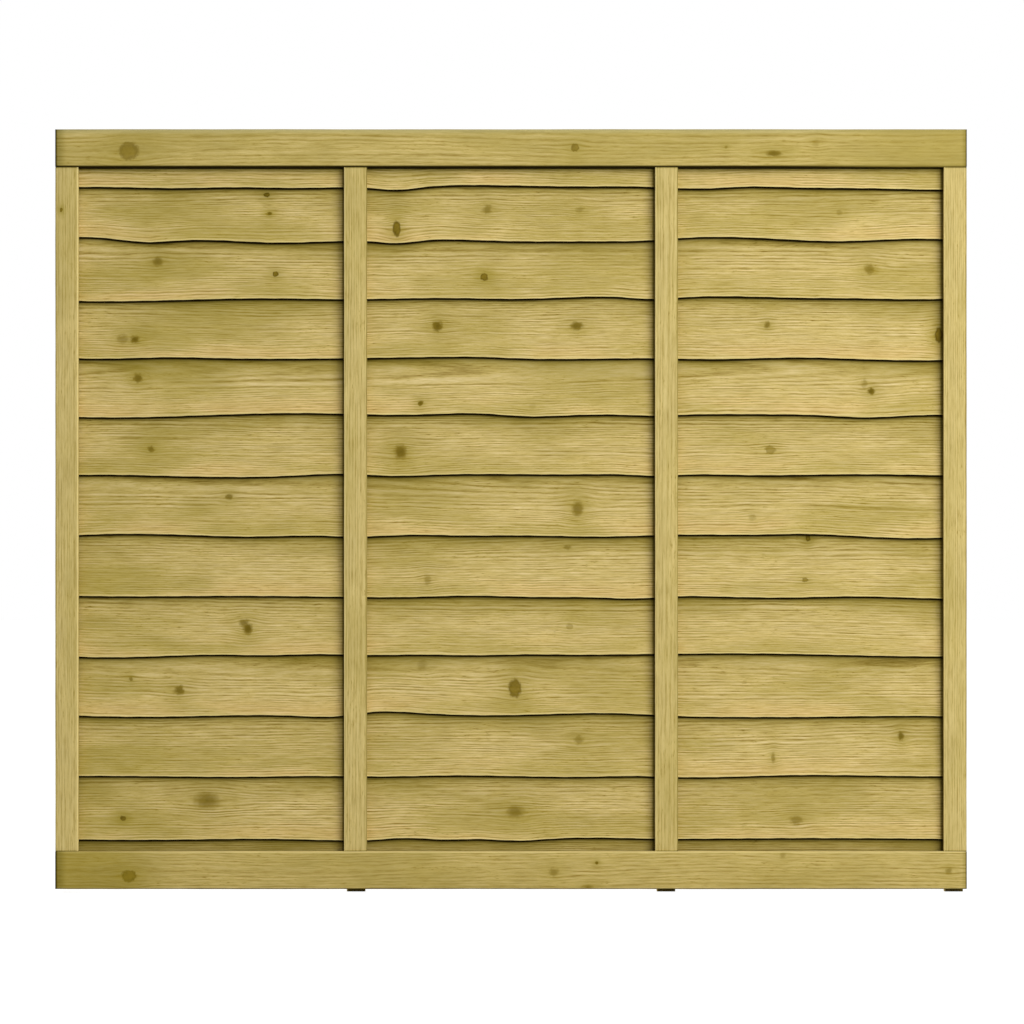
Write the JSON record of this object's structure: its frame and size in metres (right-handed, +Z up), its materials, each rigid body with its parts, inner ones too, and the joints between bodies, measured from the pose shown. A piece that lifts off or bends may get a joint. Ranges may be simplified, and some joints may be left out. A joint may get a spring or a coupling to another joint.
{
  "type": "lap fence panel",
  "caption": "Timber garden fence panel of leaning lapped boards with waney lower edges, held between upright battens with a rail across the front at top and bottom.",
  "frame": {"origin": "middle of the panel's width and depth, on the lowest plane, that of the rear battens' feet", "axes": "+X to the right seen from the front, +Z up, the front faces -Y"},
  "size_m": [1.828, 0.049, 1.5315],
  "materials": {
    "lap_board": "sawn, pressure treated, green-gold",
    "rail": "sawn, pressure treated, green-gold",
    "batten": "sawn, pressure treated, eased edges",
    "nail": "galvanised"
  },
  "bodies": {
    "root": {"lap_board_01": "lap_board", "lap_board_02": "lap_board", "lap_board_03": "lap_board", "lap_board_04": "lap_board", "lap_board_05": "lap_board", "lap_board_06": "lap_board", "lap_board_07": "lap_board", "lap_board_08": "lap_board", "lap_board_09": "lap_board", "lap_board_10": "lap_board", "lap_board_11": "lap_board", "lap_board_12": "lap_board", "lap_board_13": "lap_board", "top_rail": "rail", "bottom_rail": "rail", "front_batten_left": "batten", "front_batten_mid_left": "batten", "front_batten_mid_right": "batten", "front_batten_right": "batten", "rear_batten_left": "batten", "rear_batten_mid_left": "batten", "rear_batten_mid_right": "batten", "rear_batten_right": "batten", "lap_nails": "nail", "rail_nails": "nail"}
  },
  "joints": []
}
